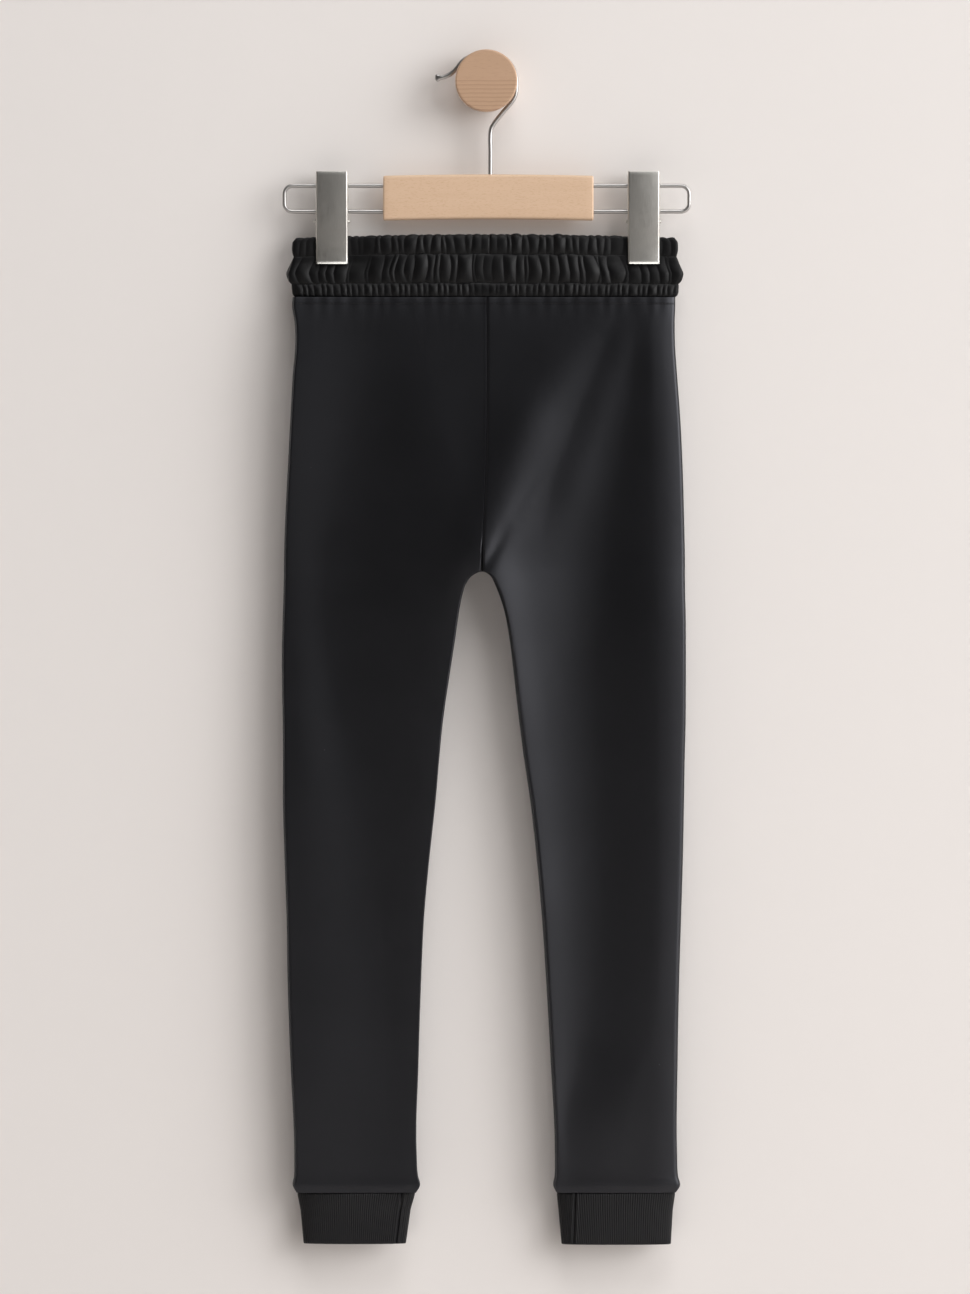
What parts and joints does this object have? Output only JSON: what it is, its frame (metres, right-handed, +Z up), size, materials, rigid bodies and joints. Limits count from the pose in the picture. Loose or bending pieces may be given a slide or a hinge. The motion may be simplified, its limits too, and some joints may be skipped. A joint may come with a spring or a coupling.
{
  "type": "joggers on clip hanger",
  "caption": "Flat-hung joggers with a gathered elastic waistband and ribbed cuffs, clipped to a wood and wire hanger on a round wall peg.",
  "frame": {"origin": "centre of the wall peg's flat back face, on the wall", "axes": "+X to the right of someone who faces the wall, +Y into the wall, +Z up along the garment's length"},
  "size_m": [0.3559, 0.0424, 1.0393],
  "materials": {
    "fleece": "black brushed-back jersey, matt",
    "satin": "black woven band, slight sheen",
    "rib_knit": "black fine rib knit, matt",
    "peg_wood": "oiled, fine straight grain",
    "block_wood": "sanded beech, satin",
    "wire": "polished",
    "clip_steel": "fine brushed, satin"
  },
  "bodies": {
    "root": {"back_left_panel": "fleece", "back_right_panel": "fleece", "front_left_panel": "fleece", "front_right_panel": "fleece", "waistband": "satin", "cuff_left": "rib_knit", "cuff_right": "rib_knit", "wall_peg": "peg_wood", "hook": "wire", "wire_loop_left": "wire", "wire_loop_right": "wire", "hanger_block": "block_wood", "clip_left_front_channel": "clip_steel", "clip_left_back_channel": "clip_steel", "clip_left_pin": "clip_steel", "clip_right_front_channel": "clip_steel", "clip_right_back_channel": "clip_steel", "clip_right_pin": "clip_steel"}
  },
  "joints": []
}
